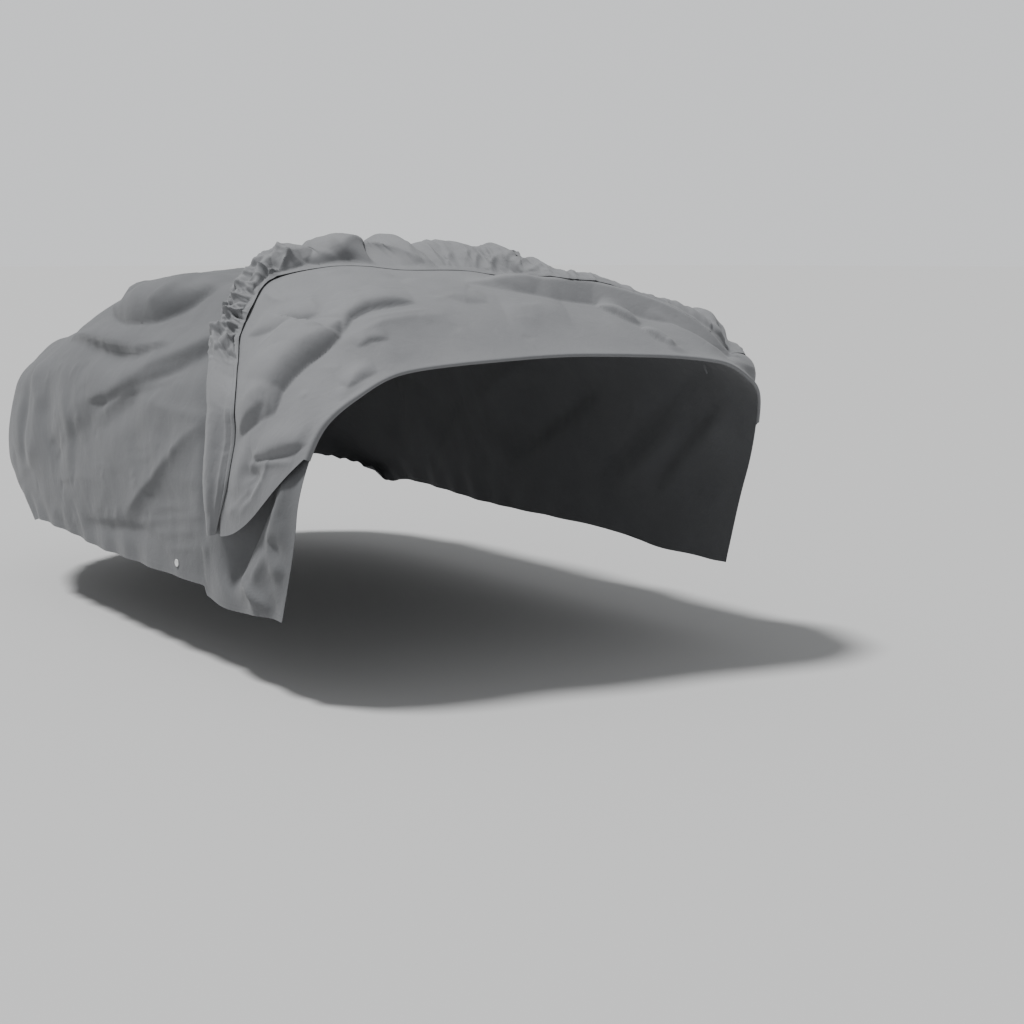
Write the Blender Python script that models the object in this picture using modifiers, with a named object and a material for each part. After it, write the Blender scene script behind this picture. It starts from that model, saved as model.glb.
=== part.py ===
"""Fitted vehicle cover of thin cloth, half taken off: its front is turned back over its top.

Metres, +Z up. +X is the front of the cover, +Y its left side.
The origin is the middle of the cover's underside, at its top.
"""
import math

import bmesh
import bpy
import numpy as np
from mathutils import Matrix, Vector

# ---- driving dimensions -------------------------------------------------------------------
CLOTH = 0.003            # thickness of the cloth
HEM_STEP = 0.032         # the right hem hangs lower by this just behind the front fold
ORIGIN_X = -1.75         # top of the cover, on the scale of the sections
ORIGIN_Z = 1.451         # underside of the cloth at its top, above the ground
FLAP_EDGE = 0.69         # the turned-back front spans this much of each half of the cloth
TURN_RADIUS = 0.009      # half the gap at the front fold
FLAP_LIFT = 0.030        # turned-back front above the layer under it
EDGE_LIFT = 0.012        # free elastic edge above the turned-back front
EYELET_RADIUS = 0.014
EYELET_HEIGHT = 0.0032
EYELET_RECESS = 0.0065
EYELET_GAP = 0.0004      # from the face of the cloth to the back of the eyelet
EYELET_PLACE = (0.736, 0.967)   # along and across the cloth, near the side hem
SEAT_PROBES = 12
PROBE_HEIGHT = 0.05
SOLID_TRIANGLES = 5600   # of one face of the cloth, after thinning out

# rows of the sheet: the lower layer, the front fold, the turned-back front, its roll, its band
BODY_ROWS, FOLD_ROWS, FLAP_ROWS, ROLL_ROWS, BAND_ROWS = 120, 5, 26, 8, 12
# columns of the sheet between places across it (-1 right hem, 0 middle, 1 left hem)
COLUMN_PLACES = (-1.0, -FLAP_EDGE, -0.25, 0.25, FLAP_EDGE, 1.0)
COLUMN_COUNTS = (18, 34, 38, 28, 14)

# ---- the covered shape ----------------------------------------------------------------------
# Sections from the rear hem to the front fold. Each holds x, distance from the middle, height
# at seven places from the side hem up to the middle of the cover.
SECTION_PLACES = (0.0, 0.20, 0.37, 0.50, 0.66, 0.82, 1.0)
SECTIONS = {
    "rear_hem": ((-3.25, 0.86, 0.40), (-3.53, 0.80, 0.43), (-3.72, 0.70, 0.44), (-3.82, 0.57, 0.44),
                 (-3.89, 0.42, 0.44), (-3.92, 0.22, 0.44), (-3.93, 0.0, 0.44)),
    "bumper": ((-3.18, 0.93, 0.33), (-3.50, 0.90, 0.52), (-3.75, 0.78, 0.62), (-3.86, 0.64, 0.66),
               (-3.94, 0.47, 0.68), (-3.97, 0.24, 0.68), (-3.98, 0.0, 0.68)),
    "boot_edge": ((-3.06, 0.95, 0.350), (-3.34, 0.94, 0.62), (-3.60, 0.83, 0.88), (-3.72, 0.69, 0.98),
                  (-3.82, 0.51, 1.06), (-3.86, 0.26, 1.08), (-3.88, 0.0, 1.08)),
    "boot_lid": ((-2.88, 0.955, 0.345), (-3.06, 0.960, 0.64), (-3.28, 0.88, 0.95), (-3.38, 0.77, 1.03),
                 (-3.50, 0.61, 1.10), (-3.54, 0.33, 1.125), (-3.55, 0.0, 1.135)),
    "window_foot": ((-2.66, 0.955, 0.335), (-2.80, 0.965, 0.65), (-2.94, 0.91, 0.98), (-3.00, 0.80, 1.12),
                    (-3.06, 0.62, 1.22), (-3.10, 0.33, 1.275), (-3.12, 0.0, 1.29)),
    "roof_rear": ((-2.36, 0.955, 0.320), (-2.46, 0.97, 0.65), (-2.56, 0.92, 0.99), (-2.61, 0.79, 1.20),
                  (-2.66, 0.62, 1.34), (-2.69, 0.33, 1.395), (-2.70, 0.0, 1.41)),
    "roof_mid": ((-1.98, 0.955, 0.32), (-2.00, 0.97, 0.65), (-2.04, 0.93, 0.98), (-2.06, 0.79, 1.22),
                 (-2.08, 0.62, 1.385), (-2.10, 0.33, 1.44), (-2.10, 0.0, 1.453)),
    "roof_front": ((-1.58, 0.955, 0.32), (-1.56, 0.97, 0.65), (-1.56, 0.92, 0.98), (-1.54, 0.78, 1.21),
                   (-1.52, 0.62, 1.37), (-1.52, 0.33, 1.435), (-1.52, 0.0, 1.452)),
    "screen_top": ((-1.24, 0.955, 0.29), (-1.18, 0.965, 0.65), (-1.14, 0.91, 0.97), (-1.11, 0.77, 1.16),
                   (-1.08, 0.61, 1.285), (-1.06, 0.33, 1.345), (-1.05, 0.0, 1.36)),
    "front_fold": ((-0.97, 0.95, 0.29), (-0.86, 0.95, 0.65), (-0.83, 0.87, 0.93), (-0.80, 0.75, 1.04),
                   (-0.78, 0.58, 1.115), (-0.69, 0.30, 1.145), (-0.63, 0.0, 1.155)),
}
# the front fold runs further forward on the left side
LEFT_FOLD = ((-0.80, 0.95, 0.29), (-0.70, 0.95, 0.65), (-0.56, 0.86, 0.95), (-0.50, 0.75, 1.04),
             (-0.48, 0.57, 1.115), (-0.54, 0.30, 1.145))
LEFT_FOLD_REACH = ((-2, 0.45), (-3, 0.12))   # how far the sections behind it follow

# ---- the rolled hem of the turned-back front ----------------------------------------------------
# across: place at the front fold; roll and edge: places (along, across) of the roll and of its free
# elastic edge; radius: of the roll; gather: height of the ruffles
ROLL = np.array([
    # across, roll along, across, edge along, across, radius, gather
    (-1.00, 0.838, -0.863, 0.845, -0.860, 0.010, 0.000),
    (-0.88, 0.836, -0.760, 0.868, -0.740, 0.014, 0.000),
    (-0.74, 0.826, -0.650, 0.862, -0.640, 0.016, 0.000),
    (-0.62, 0.788, -0.560, 0.824, -0.562, 0.020, 0.003),
    (-0.54, 0.762, -0.500, 0.795, -0.505, 0.028, 0.009),
    (-0.44, 0.750, -0.420, 0.783, -0.425, 0.028, 0.011),
    (-0.34, 0.736, -0.320, 0.768, -0.330, 0.030, 0.011),
    (-0.24, 0.735, -0.220, 0.784, -0.235, 0.034, 0.006),
    (-0.13, 0.745, -0.120, 0.835, -0.130, 0.036, 0.003),
    (0.00, 0.785, 0.000, 0.850, -0.005, 0.036, 0.008),
    (0.10, 0.820, 0.070, 0.880, 0.062, 0.030, 0.010),
    (0.20, 0.850, 0.140, 0.909, 0.125, 0.023, 0.008),
    (0.32, 0.860, 0.230, 0.912, 0.215, 0.018, 0.004),
    (0.44, 0.880, 0.325, 0.930, 0.308, 0.018, 0.004),
    (0.58, 0.912, 0.425, 0.962, 0.410, 0.032, 0.006),
    (0.72, 0.925, 0.540, 0.972, 0.530, 0.032, 0.006),
    (0.86, 0.920, 0.690, 0.960, 0.680, 0.020, 0.003),
    (1.00, 0.900, 0.850, 0.912, 0.848, 0.010, 0.000),
])
# puffs of the roll: place across the turned-back front, extra height
PUFFS = np.array([
    (-1.00, 0.000), (-0.60, 0.000), (-0.44, 0.006), (-0.36, 0.010), (-0.300, 0.020), (-0.255, -0.004),
    (-0.20, 0.026), (-0.160, 0.022), (-0.135, -0.008), (-0.090, 0.020), (-0.050, 0.010), (-0.020, -0.012),
    (0.02, 0.010), (0.05, 0.008), (0.075, -0.002), (0.11, 0.008), (0.145, 0.000), (0.19, 0.006),
    (0.25, 0.008), (0.30, 0.010), (0.38, 0.016), (0.455, -0.020), (0.52, 0.012), (0.60, 0.034),
    (0.66, 0.020), (0.74, 0.016), (0.88, 0.000), (1.00, 0.000),
])
ROLL_RUFFLE = 0.4        # share of a ruffle's height on the roll
ROLL_LEAN = 0.25         # unevenness of how far the roll reaches back
ROLL_LEAN_WAVE = 5
BAND_RUFFLE = 0.8        # share of a ruffle's height on the band
BAND_START = 0.25        # the ruffles are part risen where the band starts
BAND_TOP = 0.15          # the band stays level over this share of its width
# ruffles of the rolled hem: width of one, as a part of the turned-back front, and how they bend
RUFFLE = {"wave": 0.052, "bend": 1.6, "bend_wave": 7}

# gathers of the elastic hem of the lower layer: height, wave, how far they bend, how far they reach
REAR_GATHER = {"height": 0.010, "wave": 0.085, "bend": 1.3, "bend_wave": 9, "reach": 0.14}
SIDE_GATHER = {"height": 0.006, "wave": 0.075, "bend": 2.0, "bend_wave": 11, "from": 0.86}

# ---- folds ----------------------------------------------------------------------------------------
# layer, width, height (troughs are below zero), line of places (along, across)
FOLDS = (
    ("body", 0.055, -0.036, ((0.44, -0.480), (0.545, -0.555), (0.596, -0.567), (0.655, -0.545))),
    ("body", 0.075, -0.034, ((0.575, -0.443), (0.617, -0.467), (0.660, -0.440), (0.690, -0.380))),
    ("body", 0.040, 0.022, ((0.50, -0.500), (0.570, -0.512), (0.650, -0.500), (0.70, -0.460))),
    ("body", 0.032, 0.020, ((0.590, -0.680), (0.644, -0.637), (0.700, -0.590))),
    ("body", 0.048, -0.030, ((0.575, -0.715), (0.680, -0.620), (0.745, -0.555))),
    ("body", 0.040, 0.026, ((0.640, -0.885), (0.671, -0.830), (0.729, -0.747), (0.790, -0.665))),
    ("body", 0.070, -0.016, ((0.690, -0.880), (0.757, -0.780), (0.810, -0.700))),
    ("body", 0.070, -0.020, ((0.560, -0.850), (0.640, -0.770), (0.700, -0.690))),
    ("body", 0.028, 0.012, ((0.750, -0.662), (0.800, -0.652))),
    ("body", 0.050, 0.008, ((0.40, -0.560), (0.360, -0.653), (0.336, -0.737), (0.270, -0.860))),
    ("body", 0.085, 0.042, ((0.505, -0.345), (0.515, -0.240))),
    ("body", 0.080, -0.020, ((0.42, -0.640), (0.430, -0.740), (0.400, -0.860))),
    ("body", 0.045, 0.014, ((0.48, -0.60), (0.50, -0.72), (0.47, -0.86))),
    ("body", 0.032, 0.020, ((0.962, -0.720), (0.968, -0.840), (0.975, -0.960))),
    ("body", 0.045, -0.018, ((0.920, -0.780), (0.925, -0.870), (0.935, -0.960))),
    ("body", 0.022, 0.018, ((0.880, -0.915), (0.915, -0.935), (0.955, -0.985))),
    ("body", 0.060, -0.026, ((0.30, -0.20), (0.345, 0.02), (0.33, 0.25))),
    ("body", 0.050, 0.018, ((0.48, -0.25), (0.52, 0.05), (0.50, 0.30))),
    ("body", 0.055, -0.020, ((0.60, -0.10), (0.63, 0.12), (0.60, 0.34))),
    ("body", 0.060, -0.030, ((0.46, 0.50), (0.54, 0.57), (0.64, 0.54))),
    ("body", 0.045, 0.028, ((0.60, 0.86), (0.68, 0.76), (0.78, 0.64))),
    ("body", 0.060, -0.026, ((0.56, 0.74), (0.66, 0.63), (0.74, 0.56))),
    ("body", 0.050, 0.022, ((0.37, 0.58), (0.34, 0.72), (0.26, 0.86))),
    ("body", 0.060, -0.022, ((0.80, 0.90), (0.86, 0.78), (0.90, 0.70))),
    ("body", 0.050, -0.022, ((0.16, -0.30), (0.18, -0.10), (0.17, 0.12))),
    ("body", 0.050, 0.018, ((0.12, 0.10), (0.20, 0.30), (0.27, 0.50))),
    ("flap", 0.045, -0.018, ((0.935, -0.600), (0.909, -0.557), (0.896, -0.470), (0.904, -0.397),
                             (0.887, -0.357), (0.861, -0.310))),
    ("flap", 0.028, -0.010, ((0.895, -0.290), (0.906, -0.233))),
    ("flap", 0.055, 0.026, ((0.875, -0.520), (0.855, -0.430), (0.840, -0.360))),
    ("flap", 0.040, 0.018, ((0.930, -0.400), (0.925, -0.300), (0.930, -0.200))),
    ("flap", 0.032, -0.016, ((0.862, -0.575), (0.880, -0.640))),
    ("flap", 0.030, 0.016, ((0.900, -0.720), (0.940, -0.690), (0.980, -0.690))),
    ("flap", 0.050, 0.020, ((0.880, -0.780), (0.900, -0.680), (0.905, -0.620))),
    ("flap", 0.030, 0.014, ((0.800, -0.270), (0.815, -0.220), (0.850, -0.180))),
    ("flap", 0.028, -0.014, ((0.915, 0.150), (0.925, 0.200), (0.930, 0.235))),
    ("flap", 0.026, -0.014, ((0.952, 0.245), (0.965, 0.285))),
    ("flap", 0.035, 0.026, ((0.940, 0.280), (0.962, 0.360), (0.985, 0.430))),
    ("flap", 0.110, 0.055, ((0.965, 0.480), (0.990, 0.580))),
    ("flap", 0.090, 0.020, ((0.930, -0.05), (0.940, 0.08))),
)


def monotone(stations, values, at):
    """Curve through the values at the stations that never bulges past them, read off at each place."""
    stations = np.asarray(stations, float)
    slope = np.diff(values, axis=0) / np.diff(stations)[:, None]
    turn = slope[:-1] * slope[1:]
    tangent = np.concatenate([slope[:1],
                              np.where(turn > 0, 2 * turn / np.where(turn > 0, slope[:-1] + slope[1:], 1), 0),
                              slope[-1:]])
    cell = np.clip(np.searchsorted(stations, at, side="right") - 1, 0, len(stations) - 2)
    width = (stations[cell + 1] - stations[cell])[:, None]
    t = (at - stations[cell])[:, None] / width
    return ((2 * t**3 - 3 * t**2 + 1) * values[cell] + (t**3 - 2 * t**2 + t) * width * tangent[cell]
            + (3 * t**2 - 2 * t**3) * values[cell + 1] + (t**3 - t**2) * width * tangent[cell + 1])


def section_rows():
    """The sections with both halves, from the right hem over the middle to the left hem."""
    half = np.array(list(SECTIONS.values()))
    left = half[:, -2::-1].copy()
    ahead = np.array(LEFT_FOLD)[::-1]
    step = ahead[:, 0] - left[-1, :, 0]
    left[-1] = ahead
    for row, share in LEFT_FOLD_REACH:
        left[row, :, 0] += share * step
    right = half * (1, -1, 1)
    places = np.array(SECTION_PLACES)
    return np.concatenate([right, left], axis=1), np.concatenate([places - 1, (1 - places)[-2::-1]])


ROWS, ROW_PLACES = section_rows()


def body(along, across):
    """Points of the smooth covered shape; along 0 rear hem to 1 front fold, across -1 to 1."""
    along_places = np.linspace(0, 1, len(ROWS))
    rows = monotone(along_places, ROWS.reshape(len(ROWS), -1), along).reshape(len(along), -1, 3)
    slope = np.diff(rows, axis=1) / np.diff(ROW_PLACES)[None, :, None]
    turn = slope[:, :-1] * slope[:, 1:]
    middle = np.where(turn > 0, 2 * turn / np.where(turn > 0, slope[:, :-1] + slope[:, 1:], 1), 0)
    tangent = np.concatenate([slope[:, :1], middle, slope[:, -1:]], axis=1)
    cell = np.clip(np.searchsorted(ROW_PLACES, across, side="right") - 1, 0, len(ROW_PLACES) - 2)
    width = (ROW_PLACES[cell + 1] - ROW_PLACES[cell])[:, None]
    t = (across - ROW_PLACES[cell])[:, None] / width
    k = np.arange(len(along))
    return ((2 * t**3 - 3 * t**2 + 1) * rows[k, cell] + (t**3 - 2 * t**2 + t) * width * tangent[k, cell]
            + (3 * t**2 - 2 * t**3) * rows[k, cell + 1] + (t**3 - t**2) * width * tangent[k, cell + 1])


def unit(vectors):
    return vectors / np.linalg.norm(vectors, axis=1)[:, None]


def frame_at(along, across, reach=0.004):
    """Forward direction and outward normal of the covered shape."""
    forward = body(np.minimum(along + reach, 1), across) - body(np.maximum(along - reach, 0), across)
    sideways = body(along, np.minimum(across + reach, 1)) - body(along, np.maximum(across - reach, -1))
    normal = unit(np.cross(forward, sideways))
    return unit(forward - normal * np.sum(forward * normal, axis=1)[:, None]), normal


def fold_height(layer, points):
    """Sum of the soft folds of one layer at the given points."""
    height = np.zeros(len(points))
    for of_layer, width, rise, line in FOLDS:
        if of_layer != layer:
            continue
        line = np.array(line)
        corners = body(line[:, 0], line[:, 1])
        nearest = np.full(len(points), np.inf)
        for start, end in zip(corners[:-1], corners[1:]):
            run = end - start
            t = np.clip((points - start) @ run / (run @ run), 0, 1)
            nearest = np.minimum(nearest, np.linalg.norm(points - start - t[:, None] * run, axis=1))
        height += rise * np.exp(-(nearest / width) ** 2)
    return height


def smooth_step(value, low, high):
    t = np.clip((value - low) / (high - low), 0, 1)
    return t * t * (3 - 2 * t)


def gather_turn(place, gather):
    """Angle of an uneven row of gathers."""
    return 2 * math.pi * place / gather["wave"] + gather["bend"] * np.sin(gather["bend_wave"] * place)


def hem_waves(along, across):
    """Gathers of the elastic hem, fading out above it."""
    rear = smooth_step(REAR_GATHER["reach"] - along, 0, REAR_GATHER["reach"])
    side = smooth_step(np.abs(across), SIDE_GATHER["from"], 1.0) * (1 - rear)
    rear_turn = gather_turn(across, REAR_GATHER)
    side_turn = gather_turn(along, SIDE_GATHER)
    return (REAR_GATHER["height"] * rear * np.cos(rear_turn)
            + SIDE_GATHER["height"] * side * np.sin(side_turn))


def body_layer(along, across):
    """The lower layer, from the rear hem to the front fold."""
    points = body(along, across)
    _, normal = frame_at(along, across)
    lift = fold_height("body", points) * (1 - smooth_step(along, 0.97, 1.0)) + hem_waves(along, across)
    lift *= 1 - smooth_step(along, 0.985, 1.0)
    draped = points + normal * lift[:, None]
    low = smooth_step(-across, 0.80, 1.0)
    draped[:, 2] -= HEM_STEP * low * smooth_step(along, 0.785, 0.803) * (1 - smooth_step(along, 0.82, 0.97))
    return draped


def front_fold(turn, across):
    """The tight turn of the cloth at the front edge; turn 0 to 1."""
    along = np.ones(len(across))
    forward, normal = frame_at(along, across)
    angle = math.pi * turn
    return (body(along, across) + normal * (TURN_RADIUS * (1 - np.cos(angle)))[:, None]
            + forward * (TURN_RADIUS * np.sin(angle))[:, None])


def flap_places(share, across):
    """Places (along, across) and height of the turned-back front; share 0 at the fold, 1 at the roll."""
    spread = across / FLAP_EDGE
    roll = monotone(ROLL[:, 0], ROLL[:, 1:], spread)
    along = 1 + (roll[:, 0] - 1) * share
    place = across + (roll[:, 1] - across) * np.sin(share * math.pi / 2)
    lift = 2 * TURN_RADIUS + (FLAP_LIFT - 2 * TURN_RADIUS) * smooth_step(share, 0, 0.2)
    return along, place, lift, roll, spread


def flap_layer(share, across):
    along, place, lift, _, _ = flap_places(share, across)
    points = body(along, place)
    _, normal = frame_at(along, place)
    lift = lift + fold_height("flap", points) * smooth_step(share, 0.0, 0.18)
    return points + normal * lift[:, None]


def roll_shape(spread, roll):
    puff = monotone(PUFFS[:, 0], PUFFS[:, 1:], spread)[:, 0]
    ruffle = roll[:, 5] * np.sin(gather_turn(spread, RUFFLE))
    return roll[:, 4] + puff / 2, ruffle


def hem_roll(turn, across):
    """The rolled hem at the back of the turned-back front; turn 0 to 1."""
    ones = np.ones(len(across))
    along, place, lift, roll, spread = flap_places(ones, across)
    start = flap_layer(ones, across)
    forward, normal = frame_at(along, place)
    radius, ruffle = roll_shape(spread, roll)
    radius = radius + ROLL_RUFFLE * ruffle * turn
    angle = math.pi * turn
    return (start + normal * (radius * (1 - np.cos(angle)))[:, None]
            - forward * (radius * (1 + ROLL_LEAN * np.sin(ROLL_LEAN_WAVE * spread)) * np.sin(angle))[:, None])


def hem_band(share, across):
    """The band from the top of the roll forward to the free elastic edge."""
    ones = np.ones(len(across))
    _, _, _, roll, spread = flap_places(ones, across)
    radius, ruffle = roll_shape(spread, roll)
    start = hem_roll(ones, across)
    end_along, end_place = roll[:, 2], roll[:, 3]
    end_base = body(end_along, end_place)
    _, end_normal = frame_at(end_along, end_place)
    end_lift = FLAP_LIFT + EDGE_LIFT + fold_height("flap", end_base)
    end = end_base + end_normal * end_lift[:, None]
    _, start_normal = frame_at(roll[:, 0], roll[:, 1])
    drop = smooth_step(share, BAND_TOP, 1.0)
    straight = start + (end - start) * share[:, None]
    normal = unit(start_normal + (end_normal - start_normal) * share[:, None])
    height = np.sum((start - end) * normal, axis=1)
    ruffled = BAND_RUFFLE * ruffle * np.sin(math.pi * np.minimum(share + BAND_START, 1))
    bulge = height * (share - drop) + ruffled
    return straight + normal * bulge[:, None]


STAGES = ((BODY_ROWS, body_layer), (FOLD_ROWS, front_fold), (FLAP_ROWS, flap_layer),
          (ROLL_ROWS, hem_roll), (BAND_ROWS, hem_band))


def shape_cloth(flat):
    """Draped places of the flat cloth's vertices, given as column and row numbers."""
    counts = np.concatenate([[0], np.cumsum(COLUMN_COUNTS)])
    across = np.interp(flat[:, 0], counts, COLUMN_PLACES)
    draped = np.zeros((len(flat), 3))
    first = 0
    for rows, stage in STAGES:
        share = (flat[:, 1] - first) / rows
        inside = (share > 1e-6) & (share <= 1 + 1e-6) if first else share <= 1 + 1e-6
        draped[inside] = stage(np.clip(share[inside], 0, 1), across[inside])
        first += rows
    return draped - (ORIGIN_X, 0, ORIGIN_Z)


def start_over():
    for old in list(bpy.data.objects):
        bpy.data.objects.remove(old)
    names = ("car_cover", "cutters")
    made = []
    for name in names:
        collection = bpy.data.collections.new(name)
        bpy.context.scene.collection.children.link(collection)
        made.append(collection)
    return made


def material(name, color, roughness):
    made = bpy.data.materials.new(name)
    made.use_nodes = True
    shader = made.node_tree.nodes["Principled BSDF"]
    shader.inputs["Base Color"].default_value = (*color, 1)
    shader.inputs["Roughness"].default_value = roughness
    return made


def cut_cloth(name, collection, cloth_material):
    """Flat cloth cut from a grid, without the corners below the turned-back front, then draped."""
    columns = sum(COLUMN_COUNTS)
    rows = sum(count for count, _ in STAGES)
    mesh = bpy.data.meshes.new(name)
    sheet = bmesh.new()
    bmesh.ops.create_grid(sheet, x_segments=columns, y_segments=rows, size=0.5)
    for vertex in sheet.verts:
        vertex.co.x = round((vertex.co.x + 0.5) * columns)
        vertex.co.y = round((vertex.co.y + 0.5) * rows)
    first = COLUMN_COUNTS[0]
    last = columns - COLUMN_COUNTS[-1]
    spare = [v for v in sheet.verts
             if v.co.y > BODY_ROWS + 0.5 and not first - 0.5 < v.co.x < last + 0.5]
    bmesh.ops.delete(sheet, geom=spare, context="VERTS")
    flat = np.array([v.co[:] for v in sheet.verts])
    for vertex, place in zip(sheet.verts, shape_cloth(flat)):
        vertex.co = place
    sheet.to_mesh(mesh)
    sheet.free()
    made = bpy.data.objects.new(name, mesh)
    collection.objects.link(made)
    mesh.materials.append(cloth_material)
    thinned = made.modifiers.new("thin out", "DECIMATE")
    thinned.ratio = SOLID_TRIANGLES / (2 * len(mesh.polygons))
    thickness = made.modifiers.new("thickness", "SOLIDIFY")
    thickness.thickness = CLOTH
    thickness.offset = 0
    return made


def link_to(made, collection):
    for old in list(made.users_collection):
        old.objects.unlink(made)
    collection.objects.link(made)


def seat_on(cloth, near, outward, radius):
    """Middle and normal of a flat seat that just clears the cloth's outer face under a disc."""
    evaluated = cloth.evaluated_get(bpy.context.evaluated_depsgraph_get())
    along = Vector((1, 0, 0))
    up = outward.cross(along)
    touched = []
    for number in range(SEAT_PROBES):
        angle = 2 * math.pi * number / SEAT_PROBES
        start = near + (along * math.cos(angle) + up * math.sin(angle)) * radius + outward * PROBE_HEIGHT
        _, place, _, _ = evaluated.ray_cast(start, -outward)
        touched.append(place)
    middle = sum(touched, Vector()) / SEAT_PROBES
    normal = sum(((place - middle).cross(after - middle)
                  for place, after in zip(touched, touched[1:] + touched[:1])), Vector()).normalized()
    normal *= math.copysign(1, normal.dot(outward))
    rise = max((place - middle).dot(normal) for place in touched)
    return middle + normal * (rise + EYELET_GAP), normal


def eyelet(name, side, cloth, collection, cutters, eyelet_material):
    """Round eyelet head on the outer face of the cloth, its middle sunk and closed."""
    spot = np.array([EYELET_PLACE]) * (1, side)
    near = Vector(body_layer(spot[:, 0], spot[:, 1])[0]) - Vector((ORIGIN_X, 0, ORIGIN_Z))
    base, normal = seat_on(cloth, near, Vector((0, side, 0)), EYELET_RADIUS)
    turn = normal.to_track_quat("Z", "Y").to_matrix().to_4x4()
    bpy.ops.mesh.primitive_cylinder_add(vertices=32, radius=EYELET_RADIUS, depth=EYELET_HEIGHT)
    made = bpy.context.object
    made.name = name
    made.matrix_world = Matrix.Translation(base + normal * EYELET_HEIGHT / 2) @ turn
    link_to(made, collection)
    made.data.materials.append(eyelet_material)
    bpy.ops.mesh.primitive_cylinder_add(vertices=24, radius=EYELET_RECESS, depth=EYELET_HEIGHT)
    cutter = bpy.context.object
    cutter.name = name + "_recess"
    cutter.matrix_world = Matrix.Translation(base + normal * EYELET_HEIGHT) @ turn
    cutter.hide_render = True
    cutter.display_type = "WIRE"
    link_to(cutter, cutters)
    rounded = made.modifiers.new("rounded rim", "BEVEL")
    rounded.width = EYELET_HEIGHT / 4
    rounded.segments = 2
    recess = made.modifiers.new("recess", "BOOLEAN")
    recess.operation = "DIFFERENCE"
    recess.solver = "EXACT"
    recess.object = cutter


def main():
    collection, cutters = start_over()
    grey = material("grey_cloth", (0.235, 0.24, 0.245), 0.85)
    pale = material("pale_plastic", (0.62, 0.63, 0.62), 0.45)
    cloth = cut_cloth("cover_cloth", collection, grey)
    eyelet("eyelet_right", -1, cloth, collection, cutters, pale)
    eyelet("eyelet_left", 1, cloth, collection, cutters, pale)


main()
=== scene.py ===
"""Fitted vehicle cover of thin cloth, half taken off: its front is turned back over its top.

Metres, +Z up. +X is the front of the cover, +Y its left side. The origin is the middle of the
cover's underside, at its top.
"""
import math

import bmesh
import bpy
import numpy as np
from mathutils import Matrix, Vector


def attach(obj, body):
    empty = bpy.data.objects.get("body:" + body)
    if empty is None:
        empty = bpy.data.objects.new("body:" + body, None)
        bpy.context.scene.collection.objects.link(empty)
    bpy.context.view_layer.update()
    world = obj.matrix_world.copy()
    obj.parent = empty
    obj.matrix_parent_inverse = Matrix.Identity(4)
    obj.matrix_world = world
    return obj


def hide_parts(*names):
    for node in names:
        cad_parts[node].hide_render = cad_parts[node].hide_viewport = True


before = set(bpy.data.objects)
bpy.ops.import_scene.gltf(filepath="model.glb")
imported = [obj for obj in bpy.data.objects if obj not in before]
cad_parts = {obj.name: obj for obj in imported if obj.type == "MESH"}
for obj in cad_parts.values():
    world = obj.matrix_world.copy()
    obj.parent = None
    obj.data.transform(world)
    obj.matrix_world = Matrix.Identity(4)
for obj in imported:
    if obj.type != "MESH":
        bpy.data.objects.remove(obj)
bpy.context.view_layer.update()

# ==== viewpoint ==============================================================================
# Off the right front corner, a little above the top, and close, so that the rear falls away.

CAMERA_PLACE = (5.5124, -3.5979, 0.1337)
CAMERA_TURN = 52.6244    # degrees
CAMERA_DIP = 9.7155
CAMERA_LENS = 57.93      # on a frame SENSOR wide
SENSOR = 36.0
CAMERA_REACH = 200       # metres

camera = bpy.data.objects.new("viewpoint", bpy.data.cameras.new("viewpoint"))
bpy.context.scene.collection.objects.link(camera)
camera.location = CAMERA_PLACE
camera.rotation_euler = (math.radians(90 - CAMERA_DIP), 0, math.radians(CAMERA_TURN))
camera.data.lens = CAMERA_LENS
camera.data.sensor_width = SENSOR
camera.data.clip_end = CAMERA_REACH
bpy.context.scene.camera = camera

# ==== floor and light ========================================================================
# A wide pale floor, an even white surround and one broad light high over the right side.

GROUND = -1.451          # the cover hangs at its height over the ground
FLOOR_RADIUS = 70
FLOOR_SIDES = 96
FLOOR_COLOR = (0.48, 0.48, 0.478)
FLOOR_ROUGHNESS = 0.9
SURROUND_COLOR = (0.97, 0.985, 1.0)
SURROUND_STRENGTH = 0.50     # as light on the cover
SURROUND_SEEN = 0.90         # as the pale wall behind it
LIGHT_FROM = Vector((-0.20, -0.34, 0.92))
LIGHT_SOFTNESS = 10          # degrees across
LIGHT_STRENGTH = 4.4


def new_finish(name):
    """A material and its shader."""
    made = bpy.data.materials.new(name)
    made.use_nodes = True
    return made, made.node_tree.nodes["Principled BSDF"]


bpy.ops.object.select_all(action="DESELECT")
bpy.ops.mesh.primitive_circle_add(vertices=FLOOR_SIDES, radius=FLOOR_RADIUS, fill_type="NGON",
                                  location=(0, 0, GROUND))
floor = bpy.context.object
floor.name = "floor"
bpy.ops.object.transform_apply(location=True, rotation=True, scale=True)
floor_finish, floor_shader = new_finish("pale_floor")
floor_shader.inputs["Base Color"].default_value = (*FLOOR_COLOR, 1)
floor_shader.inputs["Roughness"].default_value = FLOOR_ROUGHNESS
floor.data.materials.append(floor_finish)

surround = bpy.data.worlds.new("white_surround")
surround.use_nodes = True
background = surround.node_tree.nodes["Background"]
background.inputs["Color"].default_value = (*SURROUND_COLOR, 1)
seen = surround.node_tree.nodes.new("ShaderNodeLightPath")
level = surround.node_tree.nodes.new("ShaderNodeMapRange")
level.inputs["To Min"].default_value = SURROUND_STRENGTH
level.inputs["To Max"].default_value = SURROUND_SEEN
surround.node_tree.links.new(seen.outputs["Is Camera Ray"], level.inputs["Value"])
surround.node_tree.links.new(level.outputs["Result"], background.inputs["Strength"])
bpy.context.scene.world = surround

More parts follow.
